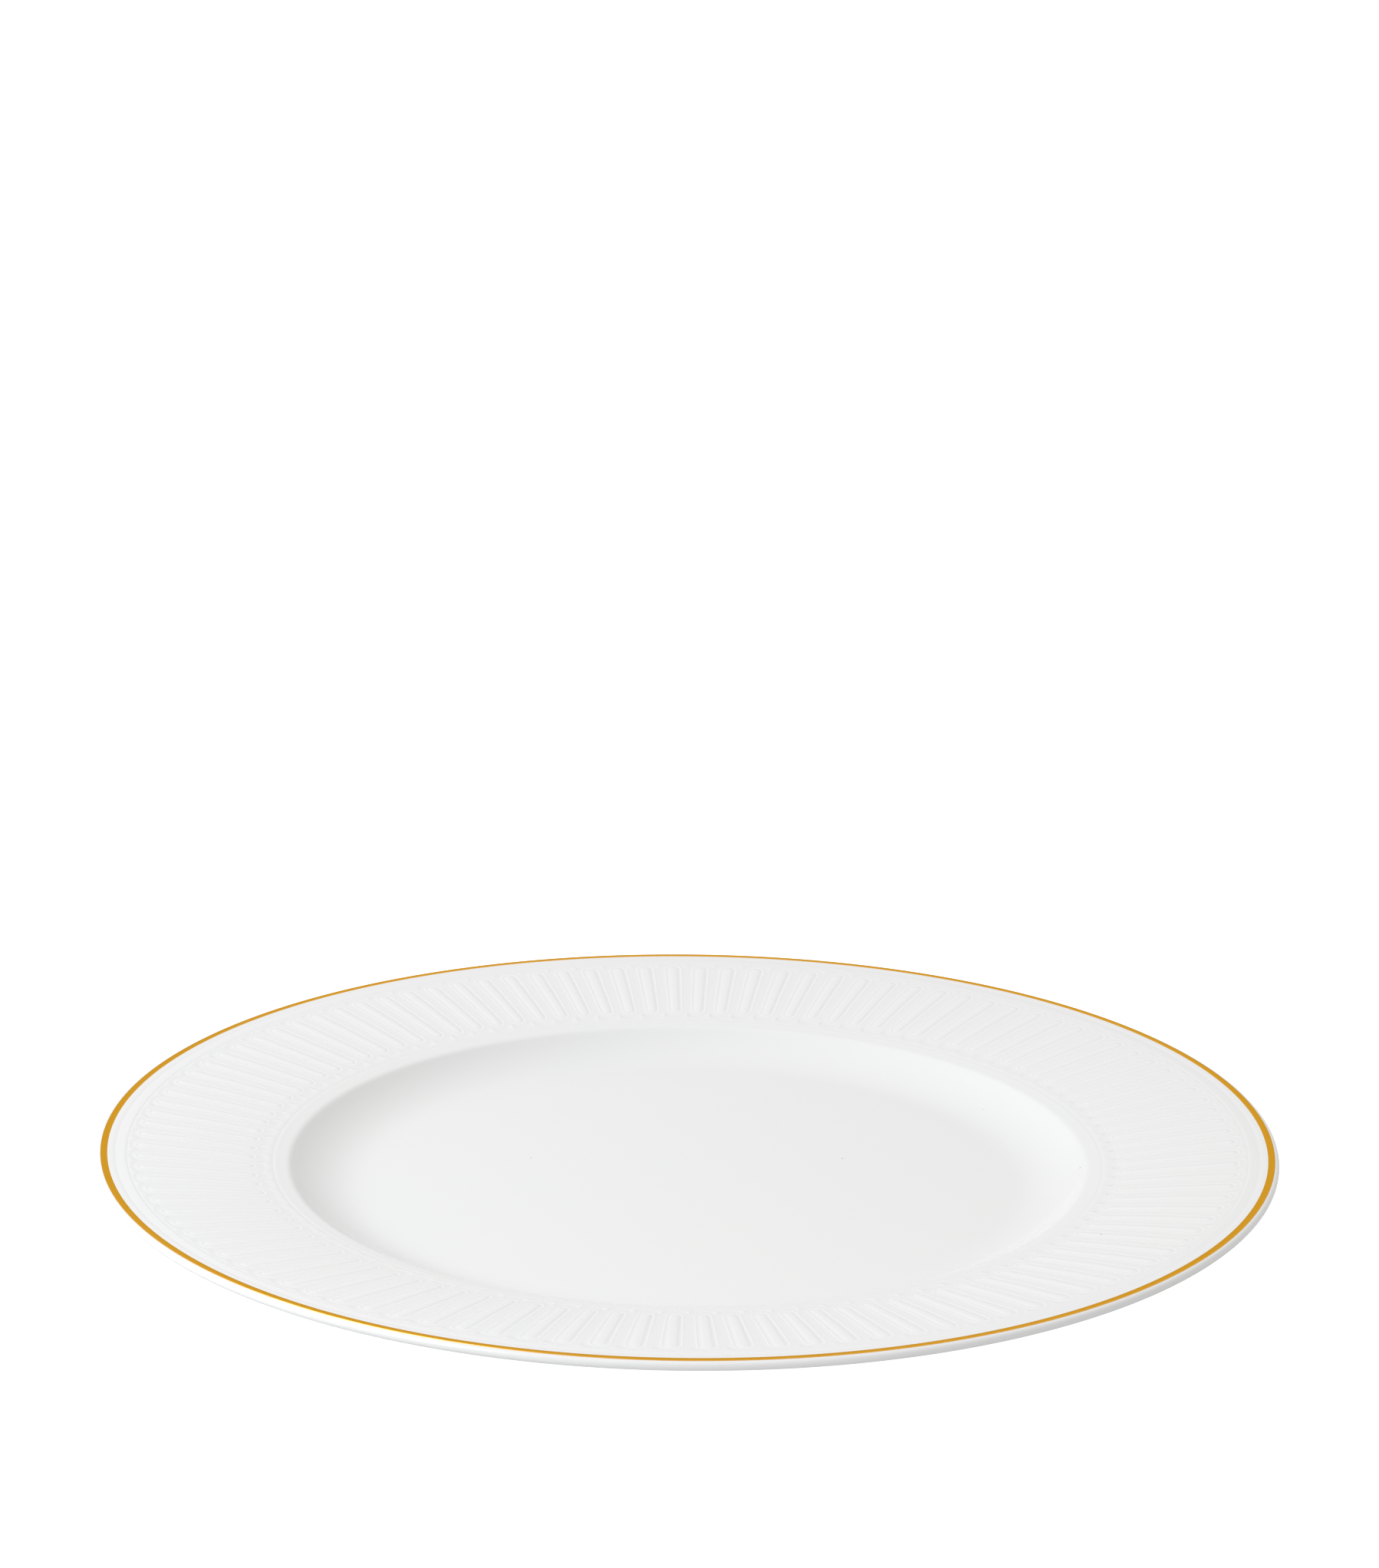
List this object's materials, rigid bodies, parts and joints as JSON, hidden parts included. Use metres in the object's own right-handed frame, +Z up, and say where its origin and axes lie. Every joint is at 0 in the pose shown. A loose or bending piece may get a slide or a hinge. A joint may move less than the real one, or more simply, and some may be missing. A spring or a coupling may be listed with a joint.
{
  "type": "dinner plate",
  "caption": "Round glazed porcelain dinner plate with a broad shallow rim, a flat-floored well, a foot ring and a thin gold line round its edge.",
  "frame": {"origin": "on the plate's axis, at the height of the foot ring's bare face, which stands on the table", "axes": "+Z up along the plate's axis, out of the well; the plate is round, so +X and +Y are any two directions across it"},
  "size_m": [0.27, 0.27, 0.019],
  "materials": {
    "bisque": "unglazed fired porcelain, matt",
    "glaze": "clear gloss glaze over white porcelain",
    "gold": "burnished gold line"
  },
  "bodies": {
    "root": {"porcelain_body": "bisque", "face_glaze": "glaze", "back_glaze": "glaze", "recess_glaze": "glaze", "gold_line": "gold"}
  },
  "joints": []
}
